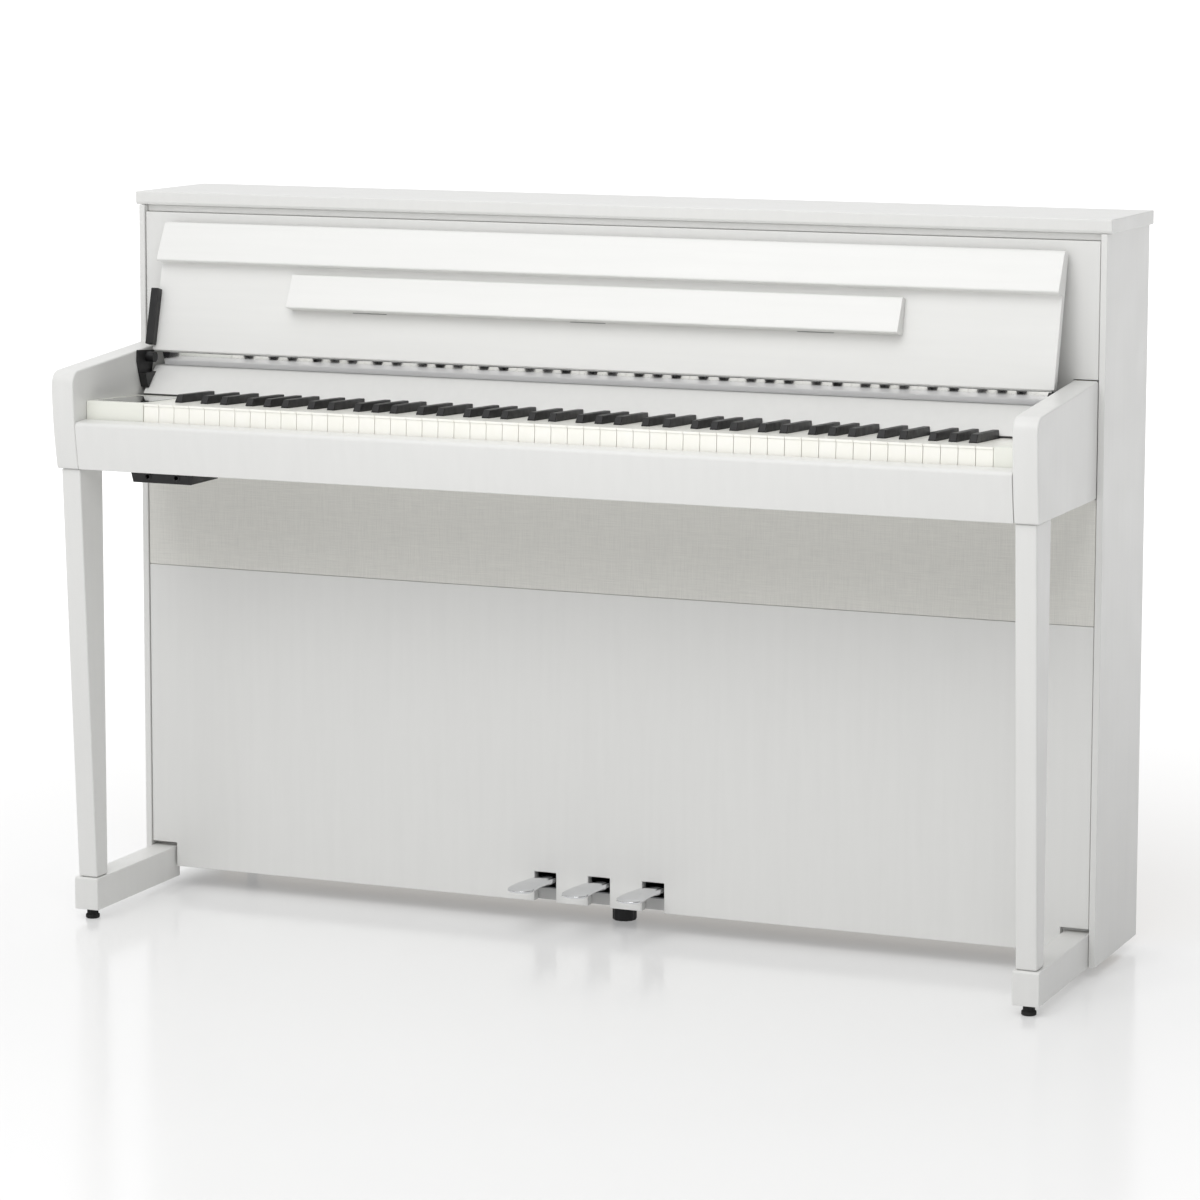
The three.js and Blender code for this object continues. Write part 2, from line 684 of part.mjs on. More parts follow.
function addPedal(name, x) {
  const above = besidePedal(PEDAL_ARCH.map(({ top }) => top), PEDAL.stemTop, 90);
  const below = besidePedal(PEDAL_ARCH.map(({ under }) => under), PEDAL.bottom, 40);
  const width = [x - PEDAL.tipWidth, x + PEDAL.tipWidth];
  const blank = prismAlongZ(pedalPlan(x), [PEDAL.bottom - 1, 75]);
  const spaces = [above, below].map((space) => prismAlongX(space, width));
  addMesh(name, cut(blank, spaces), chrome);
}

// The pedal box behind the lower board holds the levers' pivots.
function addPedalBox() {
  const bottom = LOWER_BOARD_BOTTOM + 16 + GAP;
  const box = boxGeometry([-135, 133], [INSIDE_FRONT, 150], [bottom, 100]);
  const half = PEDAL.stemWidth / 2 + 3;
  const height = [PEDAL.bottom - PEDAL_DROP, PEDAL_NOTCH.top];
  const channels = pedalCentres().map((x) =>
    boxGeometry([x - half, x + half], [INSIDE_FRONT - 5, PEDAL.root + 8], height),
  );
  const stemHole = cylinderAlongZ(ADJUSTER.stem + 1, [0, 70], ADJUSTER.x, ADJUSTER.y);
  addMesh("pedal_box", cut(box, [...channels, stemHole]), steel);
}

function addPedalAdjuster() {
  const { x, y, radius, top, stem, stemTop } = ADJUSTER;
  const knob = cylinderAlongZ(radius, [0, top], x, y, 32);
  const screw = cylinderAlongZ(stem, [top - 1, stemTop], x, y);
  addMesh("pedal_adjuster", joined([knob, screw]), blackPlastic);
}

// ---- Inside the cabinet ----

// A woofer is turned about an axis along Y: rim and cone in front, magnet behind.
function addWoofer(word, x) {
  const profile = [
    [0, 14], [30, 8], [62, 0], [74, 0], [74, 5], [66, 6], [36, 40], [36, 58], [0, 58],
  ];
  const points = profile.map(([radius, depth]) => new THREE.Vector2(radius, depth));
  const woofer = new THREE.LatheGeometry(points, 28);
  addMesh(`${word}_woofer`, woofer.translate(x, BOARD_FRONT + 12 + 1, 562), blackPlastic);
}

function addCircuitBoard() {
  const depth = [BACK - 60, BACK - 10];
  const board = boxGeometry([-140, 140], depth, [KEY_BED[1] + 6, KEY_BED[1] + 9]);
  addMesh("main_circuit_board", board, circuitGreen);
}

// A socket for a mains lead that plugs in at the back.
function addPowerInlet() {
  const inset = ([low, high]) => [low + GAP, high - GAP];
  const housing = boxGeometry(inset(INLET.x), [BACK - 30, BACK - 1], inset(INLET.z));
  const [x0, x1] = INLET.x;
  const [z0, z1] = INLET.z;
  const socket = boxGeometry([x0 + 12, x1 - 12], [BACK - 20, BACK + 5], [z0 + 6, z1 - 6]);
  addMesh("power_inlet", cut(housing, [socket]), blackPlastic);
}

// ---- Assembly ----

for (const [word, side] of Object.entries(SIDES)) {
  addSidePanel(word, side);
  addArm(word, side);
  addLeg(word, side);
  addToeBlock(word, side);
  addHingeBracket(word, side);
  addWoofer(word, side * 450);
  addFoot(`front_${word}_foot`, side * 692, TOE.front + 18, BASE);
  addFoot(`rear_${word}_foot`, side * 640, BACK - 26, LOWER_BOARD_BOTTOM);
}
addTopLid();
addTopRail();
addUpperFrontPanel();
addSpeakerClothPanel();
addLowerFrontPanel();
addBackPanel();
addBottomBoard();
addKeyBed();
addKeySlip();
addBalanceRail();
addKeyBackRail();
addMirrorStrip();
addKeyFelt();
addLeftBlock();
addRightBlock();
addHeadphoneBox();
addKeys();
addFallboard();
addHingeArm();
addMusicLedge();
["soft_pedal", "sostenuto_pedal", "damper_pedal"].forEach((name, i) => addPedal(name, pedalCentres()[i]));
addPedalBox();
addPedalAdjuster();
addCircuitBoard();
addPowerInlet();

export default piano;
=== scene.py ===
"""Upright digital piano: a white lacquered cabinet with 88 keys, a folding key lid and three pedals.

Metres, +Z up, in the CAD frame. X runs from the bass end to the treble end, and the player is on -Y.
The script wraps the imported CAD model: boards get softened edges, the keys become 88 separate pieces,
and every surface gets a procedural material.
"""

import json
import math

import bmesh
import bpy
from mathutils import Matrix, Vector


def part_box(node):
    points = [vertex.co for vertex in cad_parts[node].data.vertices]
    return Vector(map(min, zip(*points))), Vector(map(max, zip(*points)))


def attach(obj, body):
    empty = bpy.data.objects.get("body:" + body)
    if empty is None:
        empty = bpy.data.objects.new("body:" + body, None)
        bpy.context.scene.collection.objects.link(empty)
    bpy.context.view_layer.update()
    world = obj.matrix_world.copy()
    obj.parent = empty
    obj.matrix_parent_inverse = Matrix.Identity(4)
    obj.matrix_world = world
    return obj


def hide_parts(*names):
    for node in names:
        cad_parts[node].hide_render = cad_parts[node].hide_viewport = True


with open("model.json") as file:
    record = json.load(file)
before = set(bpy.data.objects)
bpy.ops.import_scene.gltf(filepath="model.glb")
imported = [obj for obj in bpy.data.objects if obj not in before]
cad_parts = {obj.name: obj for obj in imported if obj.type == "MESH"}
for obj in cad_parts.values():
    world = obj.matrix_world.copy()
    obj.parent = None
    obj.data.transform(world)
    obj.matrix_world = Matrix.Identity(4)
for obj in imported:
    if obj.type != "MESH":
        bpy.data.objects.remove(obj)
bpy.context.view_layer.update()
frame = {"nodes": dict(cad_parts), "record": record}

MM = 0.001
RECORD = frame["record"]
BODY_OF = {node: body for body, nodes in RECORD["behaviour"]["bodies"].items() for node in nodes}

# ---- Camera, floor and light ----

CAMERA_PLACE = (2.2077, -5.3046, 1.3957)
CAMERA_YAW = 22.47  # degrees to the left of straight ahead
CAMERA_PITCH = 7.466  # degrees below the horizon
CAMERA_ROLL = 0.143  # degrees
CAMERA_LENS = 125.96  # mm, on a sensor 36 mm wide
CAMERA_SHIFT = -0.1
FAR = 3000
FLOOR_HALF = 1000
SKY_LOW = 0.22  # light from the horizon
SKY_HIGH = 1.1  # light from straight above
BACKDROP = 0.65  # extra light from straight behind the piano
BACKDROP_START = 0.2  # how far round to the back that light begins, from 0 at the side to 1 behind
SIDE_LIGHT = (1.2, 0.45)  # factors on the light from the bass side and from the treble side
SUN_TOWARD = (0, -0.55, 0.6)
SUN_STRENGTH = 0.85
SUN_SPREAD = 40  # degrees
FILL_PLACE = (0.2, -1.5, 1.6)
FILL_AIM = (-0.6, 0, 0.8)
FILL_SIZE = 0.9
FILL_POWER = 6  # watts


def turn(degrees, axis):
    return Matrix.Rotation(math.radians(degrees), 4, axis)


def add_camera():
    camera = bpy.data.cameras.new("camera")
    camera.sensor_width = 36
    camera.lens = CAMERA_LENS
    camera.shift_y = CAMERA_SHIFT
    camera.clip_end = FAR
    holder = bpy.data.objects.new("camera", camera)
    aim = turn(CAMERA_YAW, "Z") @ turn(90 - CAMERA_PITCH, "X") @ turn(CAMERA_ROLL, "Z")
    holder.matrix_world = Matrix.Translation(CAMERA_PLACE) @ aim
    bpy.context.scene.collection.objects.link(holder)
    bpy.context.scene.camera = holder


def add_sun(name, toward, strength, spread):
    """A soft far light. toward points from the piano to the light, and spread is its width in degrees."""
    light = bpy.data.lights.new(name, "SUN")
    light.energy = strength
    light.angle = math.radians(spread)
    holder = bpy.data.objects.new(name, light)
    holder.rotation_euler = Vector(toward).to_track_quat("Z", "Y").to_euler()
    bpy.context.scene.collection.objects.link(holder)


def add_soft_box(name, place, aim, size, power):
    """A square soft box that lights the scene and isn't seen, nor mirrored in the gloss."""
    light = bpy.data.lights.new(name, "AREA")
    light.shape = "SQUARE"
    light.size = size
    light.energy = power
    holder = bpy.data.objects.new(name, light)
    holder.location = place
    holder.rotation_euler = (Vector(place) - Vector(aim)).to_track_quat("Z", "Y").to_euler()
    holder.visible_camera = False
    holder.visible_glossy = False
    bpy.context.scene.collection.objects.link(holder)


def add_world():
    """A studio that is brightest above, behind and on the bass side."""
    world = bpy.data.worlds.new("studio")
    world.use_nodes = True
    tree = world.node_tree
    place = tree.nodes.new("ShaderNodeTexCoord")
    parts = tree.nodes.new("ShaderNodeSeparateXYZ")
    tree.links.new(place.outputs["Generated"], parts.inputs["Vector"])

    def ramp(axis, start, low, high):
        spread = tree.nodes.new("ShaderNodeMapRange")
        spread.inputs["From Min"].default_value = start
        spread.inputs["To Min"].default_value = low
        spread.inputs["To Max"].default_value = high
        tree.links.new(parts.outputs[axis], spread.inputs["Value"])
        return spread.outputs["Result"]

    def join(operation, first, second):
        node = tree.nodes.new("ShaderNodeMath")
        node.operation = operation
        tree.links.new(first, node.inputs[0])
        tree.links.new(second, node.inputs[1])
        return node.outputs[0]

    around = join("ADD", ramp("Z", 0, SKY_LOW, SKY_HIGH), ramp("Y", BACKDROP_START, 0, BACKDROP))
    strength = join("MULTIPLY", around, ramp("X", -1, *SIDE_LIGHT))
    background = tree.nodes["Background"]
    background.inputs["Color"].default_value = (1, 1, 1, 1)
    tree.links.new(strength, background.inputs["Strength"])
    bpy.context.scene.world = world
    bpy.context.scene.view_settings.view_transform = "Standard"


# ---- Materials ----


def tone(red, green, blue):
    """A colour given as screen values from 0 to 255, as the shader wants it."""

    def linear(value):
        value /= 255
        return value / 12.92 if value <= 0.04045 else ((value + 0.055) / 1.055) ** 2.4

    return (linear(red), linear(green), linear(blue), 1)


PATTERN_LOW = 0.3  # noise seldom falls below this
PATTERN_HIGH = 0.7  # or rises above this


class Finish:
    """One procedural material, with small methods that wire its colour, roughness and bump."""

    def __init__(self, name, **constants):
        self.material = bpy.data.materials.new(name)
        self.material.use_nodes = True
        self.tree = self.material.node_tree
        self.shader = self.tree.nodes["Principled BSDF"]
        for socket, value in constants.items():
            self.shader.inputs[socket.replace("_", " ")].default_value = value
        self.place = self.node("ShaderNodeTexCoord").outputs["Object"]

    def node(self, kind, **settings):
        node = self.tree.nodes.new(kind)
        for key, value in settings.items():
            if key in node.inputs:
                node.inputs[key].default_value = value
            else:
                setattr(node, key, value)
        return node

    def link(self, source, target):
        self.tree.links.new(source, target)

    def noise(self, scale, stretch=(1, 1, 1), detail=3):
        """Noise with `scale` features a metre, made longer along an axis by a small stretch value."""
        mapping = self.node("ShaderNodeMapping", Scale=stretch)
        self.link(self.place, mapping.inputs["Vector"])
        noise = self.node("ShaderNodeTexNoise", Scale=scale, Detail=detail)
        self.link(mapping.outputs["Vector"], noise.inputs["Vector"])
        return noise.outputs["Fac"]

    def waves(self, scale, axis):
        """Ridges across one axis, a little more than 3 x `scale` of them a metre."""
        wave = self.node("ShaderNodeTexWave", Scale=scale, bands_direction=axis)
        self.link(self.place, wave.inputs["Vector"])
        return wave.outputs["Fac"]

    def spread(self, value, low, high, start=PATTERN_LOW, end=PATTERN_HIGH):
        """Maps a pattern onto the range from low to high."""
        node = self.node("ShaderNodeMapRange")
        node.inputs["From Min"].default_value = start
        node.inputs["From Max"].default_value = end
        node.inputs["To Min"].default_value = low
        node.inputs["To Max"].default_value = high
        self.link(value, node.inputs["Value"])
        return node.outputs["Result"]

    def combine(self, first, second, operation):
        node = self.node("ShaderNodeMath", operation=operation)
        self.link(first, node.inputs[0])
        self.link(second, node.inputs[1])
        return node.outputs[0]

    def colour(self, value, low, high):
        """Colours the surface from low to high by a pattern."""
        ramp = self.node("ShaderNodeValToRGB")
        ramp.color_ramp.elements[0].position = PATTERN_LOW
        ramp.color_ramp.elements[0].color = low
        ramp.color_ramp.elements[1].position = PATTERN_HIGH
        ramp.color_ramp.elements[1].color = high
        self.link(value, ramp.inputs["Fac"])
        self.link(ramp.outputs["Color"], self.shader.inputs["Base Color"])

    def roughness(self, value, low, high):
        self.link(self.spread(value, low, high), self.shader.inputs["Roughness"])

    def bump(self, value, depth, strength):
        """Raises the surface by a pattern, `depth` metres from its lowest to its highest."""
        bump = self.node("ShaderNodeBump", Strength=strength, Distance=depth)
        self.link(value, bump.inputs["Height"])
        self.link(bump.outputs["Normal"], self.shader.inputs["Normal"])


GRAIN_UP = (1, 1, 0.06)
GRAIN_ACROSS = (0.06, 1, 1)


def satin_lacquer(name, low, high, shine, stretch):
    """White lacquer over board: a faint long grain in the colour, and a fine orange peel on the surface."""
    finish = Finish(name, Coat_Weight=0.15, Coat_Roughness=0.2)
    grain = finish.noise(90, stretch)
    finish.colour(grain, low, high)
    finish.roughness(finish.noise(14), shine - 0.04, shine + 0.05)
    peel = finish.combine(finish.noise(900), finish.spread(grain, 0, 0.7), "ADD")
    finish.bump(peel, 0.00008, 0.5)
    return finish.material


THREADS = 420  # for the weave, a thread about every 0.75 mm


def woven_cloth():
    """Speaker cloth: threads both ways, with slubs that run along them."""
    finish = Finish("woven_cloth", Sheen_Weight=0.2, Sheen_Roughness=0.5)
    across = finish.noise(1500, (0.02, 1, 1))
    down = finish.noise(1500, (1, 1, 0.02))
    slubs = finish.combine(across, down, "ADD")
    finish.colour(finish.spread(slubs, 0.2, 0.8, 0.6, 1.4), tone(224, 223, 218), tone(238, 237, 231))
    finish.roughness(across, 0.85, 0.98)
    weave = finish.combine(finish.waves(THREADS, "X"), finish.waves(THREADS, "Z"), "ADD")
    finish.bump(finish.combine(weave, slubs, "ADD"), 0.0003, 0.5)
    return finish.material


def key_white():
    finish = Finish("key_white", Coat_Weight=0.3, Coat_Roughness=0.12)
    finish.colour(finish.noise(40), tone(251, 250, 242), tone(253, 252, 246))
    finish.roughness(finish.noise(60), 0.28, 0.4)
    finish.bump(finish.noise(1800), 0.00004, 0.4)
    return finish.material


def key_black():
    finish = Finish("key_black")
    finish.colour(finish.noise(120, (1, 0.08, 1)), tone(16, 16, 17), tone(26, 26, 27))
    finish.roughness(finish.noise(90), 0.36, 0.52)
    finish.bump(finish.noise(1400, (1, 0.15, 1)), 0.00008, 0.5)
    return finish.material


def moulded_plastic(name, low, high, shine, depth=0.0001):
    """Dark moulded plastic with a fine leathery grain."""
    finish = Finish(name)
    finish.colour(finish.noise(70), low, high)
    finish.roughness(finish.noise(50), shine - 0.06, shine + 0.08)
    finish.bump(finish.noise(1600), depth, 0.5)
    return finish.material


def polished_metal(name, low, high, shine):
    """Plated metal, with a slight haze from wiping."""
    finish = Finish(name, Metallic=1)
    finish.colour(finish.noise(8), low, high)
    finish.roughness(finish.noise(35), shine, shine + 0.06)
    finish.bump(finish.noise(300, (1, 0.2, 1)), 0.00002, 0.3)
    return finish.material


def gloss_glass():
    finish = Finish("gloss_glass", Coat_Weight=1, Coat_Roughness=0.03)
    finish.colour(finish.noise(15), tone(14, 14, 16), tone(22, 22, 25))
    finish.roughness(finish.noise(25), 0.05, 0.11)
    finish.bump(finish.noise(30), 0.00002, 0.2)
    return finish.material


def fibre_board():
    """Unpainted board: pressed fibres, with darker flecks."""
    finish = Finish("fibre_board")
    flecks = finish.noise(260, (0.3, 1, 1), 6)
    finish.colour(flecks, tone(181, 156, 122), tone(199, 175, 140))
    finish.roughness(flecks, 0.7, 0.9)
    finish.bump(flecks, 0.0004, 0.6)
    return finish.material


def felt(name, low, high):
    finish = Finish(name, Sheen_Weight=0.4, Sheen_Roughness=0.6)
    fuzz = finish.noise(2500)
    finish.colour(fuzz, low, high)
    finish.roughness(fuzz, 0.9, 1)
    finish.bump(fuzz, 0.0004, 0.8)
    return finish.material


def floor_white():
    """A pale floor that glows with painted light, less near the piano and more away from it, like a lit
    studio sweep.
    """
    finish = Finish("floor_white", Specular_IOR_Level=0.3)
    finish.colour(finish.noise(0.7), tone(204, 204, 204), tone(206, 206, 206))
    finish.roughness(finish.noise(3), 0.14, 0.18)
    # Painted light: the floor's own glow lifts the shade near the piano and grows with the distance from
    # the floor's middle.
    reach = finish.node("ShaderNodeVectorMath", operation="LENGTH")
    finish.link(finish.place, reach.inputs[0])
    glow = finish.spread(reach.outputs["Value"], 0.26, 0.62, 0.9, 5)
    finish.shader.inputs["Emission Color"].default_value = (1, 1, 1, 1)
    finish.link(glow, finish.shader.inputs["Emission Strength"])
    return finish.material


def make_materials():
    """One material for each slot of the record, and a few more for small trim."""
    white = (tone(225, 225, 223), tone(227, 227, 225))
    # Painted light: the cabinet's lacquer made lighter for the fallboard and ledge, which lean back towards
    # the light.
    lid_white_painted_light = (tone(233, 233, 231), tone(235, 235, 233))
    block_white = (tone(238, 239, 231), tone(240, 241, 233))
    return {
        "satin_white": satin_lacquer("satin_white", *white, 0.36, GRAIN_UP),
        "lid_white_painted_light": satin_lacquer("lid_white_painted_light", *lid_white_painted_light, 0.34, GRAIN_ACROSS),
        "block_white": satin_lacquer("block_white", *block_white, 0.34, GRAIN_ACROSS),
        "speaker_cloth": woven_cloth(),
        "raw_board": fibre_board(),
        "rubber_foot": moulded_plastic("rubber", tone(24, 24, 24), tone(36, 36, 36), 0.8, 0.0002),
        "gloss_black": gloss_glass(),
        "black_plastic": moulded_plastic("black_plastic", tone(24, 24, 25), tone(34, 34, 35), 0.45),
        "pedal_chrome": polished_metal("pedal_chrome", tone(216, 217, 219), tone(226, 227, 229), 0.05),
        "steel": polished_metal("steel", tone(120, 122, 124), tone(140, 142, 144), 0.35),
        "circuit_green": moulded_plastic("circuit_green", tone(24, 84, 54), tone(30, 98, 62), 0.5),
        "white_key": key_white(),
        "black_key": key_black(),
        "mirror_trim": polished_metal("mirror_trim", tone(246, 246, 248), tone(250, 250, 252), 0.06),
        "key_felt": felt("key_felt", tone(28, 26, 27), tone(44, 41, 42)),
        "pad_grey": felt("pad_grey", tone(92, 92, 92), tone(112, 112, 112)),
        # Painted shade: the grey of the felt sheet that stands for the shade seen through the pedal
        # notches.
        "shade_grey_felt": felt("shade_grey_felt", tone(192, 192, 191), tone(202, 202, 201)),
        "floor": floor_white(),
    }


# ---- Mesh helpers ----

SHARP = math.radians(30)  # edges with a sharper corner than this get rounded, and aren't shaded smooth
SAME_PLANE = math.radians(0.5)
SAME_POINT = 1e-6
SQUARE_SIGNS = [(-1, -1), (1, -1), (1, 1), (-1, 1)]


def mesh_piece(name, bm, material, body, replaces=()):
    """Turns a bmesh into a piece that rides on a body, shaded smooth with its flat faces kept flat."""
    bmesh.ops.recalc_face_normals(bm, faces=bm.faces)
    for face in bm.faces:
        face.smooth = True
    for edge in bm.edges:
        edge.smooth = len(edge.link_faces) != 2 or edge.calc_face_angle() < SHARP
    mesh = bpy.data.meshes.new(name)
    bm.to_mesh(mesh)
    bm.free()
    return place_mesh(name, mesh, material, body, replaces)


def place_mesh(name, mesh, material, body, replaces=()):
    mesh.materials.append(MATERIALS[material])
    piece = bpy.data.objects.new(name, mesh)
    bpy.context.scene.collection.objects.link(piece)
    weighted = piece.modifiers.new("flat_faces", "WEIGHTED_NORMAL")
    weighted.keep_sharp = True
    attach(piece, body)
    if replaces:
        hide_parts(*replaces)
    return piece


def cad_solid(node):
    """A CAD node's mesh with its split corners joined and its flat faces made whole."""
    source = frame["nodes"][node].data
    bm = bmesh.new()
    corners = [bm.verts.new(vertex.co) for vertex in source.vertices]
    for polygon in source.polygons:
        bm.faces.new([corners[i] for i in polygon.vertices])
    bmesh.ops.remove_doubles(bm, verts=bm.verts, dist=SAME_POINT)
    bmesh.ops.dissolve_limit(bm, angle_limit=SAME_PLANE, verts=bm.verts, edges=bm.edges)
    return bm


def soften(bm, width, segments=3):
    """Rounds every sharp edge, `width` metres back from the corner."""
    bmesh.ops.recalc_face_normals(bm, faces=bm.faces)
    sharp = [e for e in bm.edges if len(e.link_faces) == 2 and e.calc_face_angle() > SHARP]
    bmesh.ops.bevel(
        bm,
        geom=sharp,
        offset=width,
        segments=segments,
        profile=0.5,
        affect="EDGES",
        clamp_overlap=True,
    )


def softened_node(node, material, width, segments=3):
    """The CAD node's own shape with rounded edges, in place of the plain node."""
    bm = cad_solid(node)
    soften(bm, width, segments)
    return mesh_piece(f"{node}_soft", bm, material, BODY_OF[node], [node])


def add_loop(bm, points):
    return [bm.verts.new(point) for point in points]


def bridge(bm, first, second):
    """Side faces between two rings of the same number of points."""
    for i in range(len(first)):
        j = (i + 1) % len(first)
        bm.faces.new((first[i], first[j], second[j], second[i]))


def loft(rings):
    """A closed solid through rings of points, capped at both ends."""
    bm = bmesh.new()
    loops = [add_loop(bm, ring) for ring in rings]
    for first, second in zip(loops, loops[1:]):
        bridge(bm, first, second)
    bm.faces.new(loops[0])
    bm.faces.new(loops[-1])
    return bm


def circle(radius, height, count):
    turns = [2 * math.pi * i / count for i in range(count)]
    return [(radius * math.cos(a), radius * math.sin(a), height) for a in turns]


def turned(profile, count=32):
    """A solid of revolution about Z from (radius, height) pairs, which start and end near the axis."""
    return loft([circle(radius, height, count) for radius, height in profile])


def prism(outline, low, high):
    """An (x, y) outline stretched from low to high along Z."""
    return loft([[(x, y, z) for x, y in outline] for z in (low, high)])


def move(bm, matrix):
    bmesh.ops.transform(bm, matrix=matrix, verts=bm.verts)


def centre_of(node):
    low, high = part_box(node)
    return (low + high) / 2


# ---- Cabinet boards ----

BOARD_EDGE = 1.2 * MM
LEG_EDGE = 2.5 * MM
LACQUERED = [
    "top_lid",
    "top_rail",
    "left_side_panel",
    "right_side_panel",
    "upper_front_panel",
    "lower_front_panel",
    "key_bed",
    "key_slip",
    "key_back_rail",
    "left_cheek_block",
    "right_cheek_block",
    "left_toe_block",
    "right_toe_block",
    "left_leg",
    "right_leg",
    "left_arm",
    "right_arm",
    "bottom_board",
    "fallboard",
    "music_ledge",
]
# The slot of each other node that keeps its CAD shape, and how much its edges are rounded.
OTHER_NODES = {
    "speaker_cloth_panel": ("speaker_cloth", 1.0 * MM),
    "back_panel": ("raw_board", 0.5 * MM),
    "balance_rail": ("raw_board", 0.5 * MM),
    "left_hinge_bracket": ("black_plastic", 0.6 * MM),
    "right_hinge_bracket": ("black_plastic", 0.6 * MM),
    "left_hinge_arm": ("black_plastic", 1.2 * MM),
    "left_woofer": ("black_plastic", 0.8 * MM),
    "right_woofer": ("black_plastic", 0.8 * MM),
    "headphone_box": ("black_plastic", 1.2 * MM),
    "power_inlet": ("black_plastic", 0.6 * MM),
    "pedal_box": ("steel", 0.8 * MM),
    "main_circuit_board": ("circuit_green", 0.3 * MM),
    "control_display": ("gloss_black", 0.4 * MM),
    "mirror_strip": ("mirror_trim", 0.4 * MM),
    "key_felt": ("key_felt", 0.4 * MM),
}
# Lacquered nodes whose white differs from the cabinet's. The fallboard and music ledge get a lighter copy
# of the same lacquer, painted light for the extra light these boards catch as they lean back; the cheek
# blocks get a creamier white.
LACQUER_OF = {
    "fallboard": "lid_white_painted_light",
    "music_ledge": "lid_white_painted_light",
    "left_cheek_block": "block_white",
    "right_cheek_block": "block_white",
}


def add_boards():
    for node in LACQUERED:
        edge = LEG_EDGE if node.endswith(("_leg", "_toe_block", "_arm")) else BOARD_EDGE
        softened_node(node, LACQUER_OF.get(node, "satin_white"), edge)
    for node, (slot, edge) in OTHER_NODES.items():
        softened_node(node, slot, edge, 2)


# ---- Keys ----

KEY_GAP = 1.0 * MM  # between the CAD keys
KEY_CRACK = 0.6 * MM  # between the keys here, whose rounded edges widen it
BLACK_SLOT = 13.6 * MM  # room left for a black key between its white neighbours
KEY_SLOPE = math.radians(2.6)  # at rest the keyboard falls towards the back
KEY_TILT = Matrix.Rotation(-KEY_SLOPE, 4, "X")
WHITE_COUNT = 52
OCTAVES = 7
WHITES_IN_OCTAVE = 7
WHITE_DEEP = 31 * MM
WHITE_EDGE = 0.45 * MM
BLACK_EDGE = 1.0 * MM
BLACK_DEEP = 30 * MM  # a black key's underside below the white keys' tops
BLACK_RISE = 11 * MM  # a black key's top above the white keys' tops
BLACK_BACK = 150.6 * MM  # where the visible black part ends, behind the white fronts
BLACK_NOSE = 1.5 * MM  # where a black key's sloping front starts, above the white keys' tops
BLACK_FRONT_RUN = 6.5 * MM  # how far that front slopes back
SHOULDER_GAP = 2 * MM  # from a black key's front to the white keys' shoulders
TAIL_DROP = 1 * MM  # a black key's tail below the white keys' tops
BLACK_BASE = 11.0 * MM
BLACK_TOP = 9.4 * MM
LIP_HEIGHT = 3.0 * MM
LIP_REACH = 1.6 * MM
LIP_UNDERCUT = 0.6 * MM  # height of the slope under the lip
FIRST_C = 2  # white keys A0 and B0 come before the first C
# Each octave's black keys: the white boundary they straddle, counted from C, and their shift from it in mm.
BLACK_LAYOUT = [(1, -3.3), (2, 3.3), (4, -4.0), (5, 0.0), (6, 4.0)]
LOWEST_BLACK = (1, 4.0)  # A sharp 0, below the first C
MIDDLE_C = FIRST_C + 3 * WHITES_IN_OCTAVE
WHITE_NAMES = ["key_c4", "key_d4", "key_e4", "key_f4", "key_g4", "key_a4", "key_b4"]
BLACK_NAMES = ["key_c_sharp4", "key_d_sharp4", "key_f_sharp4", "key_g_sharp4", "key_a_sharp4"]
KEY_BANKS = ["white_keys_bass", "white_keys_treble", "black_keys_bass", "black_keys_treble"]


def keyboard():
    """The keyboard's measures before it is tipped, from the boxes of the CAD key nodes."""
    bass_low, bass_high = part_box("white_keys_bass")
    _, treble_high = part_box("white_keys_treble")
    black_low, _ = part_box("key_d_sharp4")
    rise, run = math.sin(KEY_SLOPE), math.cos(KEY_SLOPE)
    left = bass_low.x - KEY_GAP / 2
    right = treble_high.x + KEY_GAP / 2
    front = bass_low.y + WHITE_DEEP * rise
    top = bass_high.z
    hinge = Vector((0, front, top))
    return {
        "left": left,
        "pitch": (right - left) / WHITE_COUNT,
        "front": front,
        "back": front + (bass_high.y - front) / run,
        "bottom": top - WHITE_DEEP,
        "top": top,
        "black_front": front + (black_low.y - front + BLACK_DEEP * rise) / run,
        "tip": Matrix.Translation(hinge) @ KEY_TILT @ Matrix.Translation(-hinge),
    }


def black_places(board):
    """(white boundary, x of the middle) of the 36 black keys, from the bass."""
    places = [LOWEST_BLACK]
    for octave in range(OCTAVES):
        first = FIRST_C + WHITES_IN_OCTAVE * octave
        places += [(first + boundary, shift) for boundary, shift in BLACK_LAYOUT]
    return [(edge, board["left"] + edge * board["pitch"] + shift * MM) for edge, shift in places]


def white_outline(board, index, blacks):
    """A white key from above, narrowed beside its black neighbours."""
    left = board["left"] + index * board["pitch"] + KEY_CRACK / 2
    right = left + board["pitch"] - KEY_CRACK
    front, back = board["front"], board["back"]
    shoulder = board["black_front"] - SHOULDER_GAP
    points = [(left, front), (right, front)]
    if index + 1 in blacks:
        edge = blacks[index + 1] - BLACK_SLOT / 2
        points += [(right, shoulder), (edge, shoulder), (edge, back)]
    else:
        points.append((right, back))
    if index in blacks:
        edge = blacks[index] + BLACK_SLOT / 2
        points += [(edge, back), (edge, shoulder), (left, shoulder)]
    else:
        points.append((left, back))
    return points


def white_key(board, outline):
    """A white key whose top overhangs its front by a small lip."""
    bm = prism(outline, board["bottom"], board["top"])
    cut = board["top"] - LIP_HEIGHT
    for height in (cut, cut - LIP_UNDERCUT):
        everything = bm.verts[:] + bm.edges[:] + bm.faces[:]
        bmesh.ops.bisect_plane(bm, geom=everything, plane_co=(0, 0, height), plane_no=(0, 0, 1))
    for vertex in bm.verts:
        if vertex.co.y < board["front"] + 0.1 * MM and vertex.co.z < cut - 0.1 * MM:
            vertex.co.y += LIP_REACH
    soften(bm, WHITE_EDGE, 2)
    return bm


